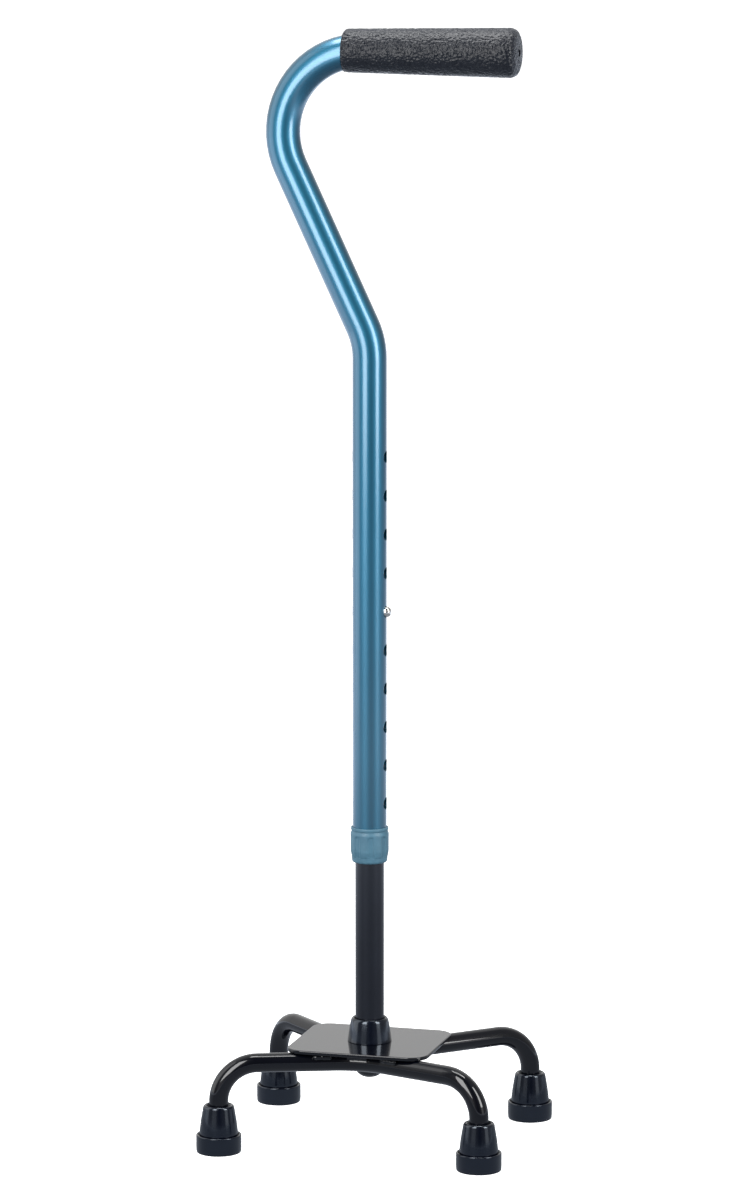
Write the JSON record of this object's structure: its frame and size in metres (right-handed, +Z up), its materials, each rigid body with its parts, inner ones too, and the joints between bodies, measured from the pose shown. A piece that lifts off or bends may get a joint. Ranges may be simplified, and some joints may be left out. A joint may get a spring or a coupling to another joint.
{
  "type": "quad walking cane",
  "caption": "Height-adjustable walking cane with an offset crook handle, foam grip, lock nut and snap button, on a small plate base with splayed legs and rubber tips.",
  "frame": {"origin": "on the floor, at the centre of the rectangle of the four feet; the shaft axis stands at X 0, Y -16.5 mm, nearer the front pair of feet", "axes": "+Z up along the shaft, +X the way the handle grip points, -Y towards the front pair of feet"},
  "size_m": [0.2058, 0.1698, 0.7347],
  "materials": {
    "anodised_blue": "satin blue anodised tube, fine lengthwise drawing lines",
    "grip_foam": "matt black foam rubber with a leather-like grain",
    "nut_plastic": "moulded grey-blue nylon, fine matt texture",
    "collet_nylon": "natural nylon",
    "anodised_black": "satin black anodised tube",
    "nickel": "bright nickel plate",
    "spring_steel": "hardened steel, light oil film",
    "black_enamel": "high-gloss black enamel",
    "black_rubber": "semi-gloss moulded black rubber",
    "plug_plastic": "moulded black plastic"
  },
  "bodies": {
    "base": {"lower_tube": "anodised_black", "button_spring": "spring_steel", "base_plate": "black_enamel", "hub_sleeve": "black_enamel", "hub_pin": "spring_steel", "hub_plug": "plug_plastic", "boot": "black_rubber", "front_leg": "black_enamel", "rear_leg": "black_enamel", "plate_welds": "black_enamel", "hub_welds": "black_enamel", "tip_front_left": "black_rubber", "tip_front_right": "black_rubber", "tip_rear_left": "black_rubber", "tip_rear_right": "black_rubber", "tip_washers": "spring_steel"},
    "collet": {"collet_ring": "collet_nylon"},
    "handle": {"handle_tube": "anodised_blue", "grip": "grip_foam"},
    "nut": {"lock_nut": "nut_plastic"},
    "button": {"snap_button": "nickel"}
  },
  "joints": [
    {"name": "height_slide", "type": "slide", "parent": "base", "child": "collet", "axis": [0, 0, 1], "range_m": [-0.1016, 0.127], "deforming": ["snap_button", "button_spring"]},
    {"name": "handle_turn", "type": "hinge", "parent": "collet", "child": "handle", "pos_m": [0, -0.0165, 0.2], "axis": [0, 0, 1], "range_deg": [0, 180], "deforming": ["snap_button"]},
    {"name": "nut_turn", "type": "hinge", "parent": "handle", "child": "nut", "pos_m": [0, -0.0165, 0.2], "axis": [0, 0, -1], "range_deg": [0, 360]},
    {"name": "button_press", "type": "slide", "parent": "base", "child": "button", "axis": [-1, 0, 0], "range_m": [0, 0.005], "stiffness_N_per_m": 1200, "deforming": ["button_spring"]}
  ]
}
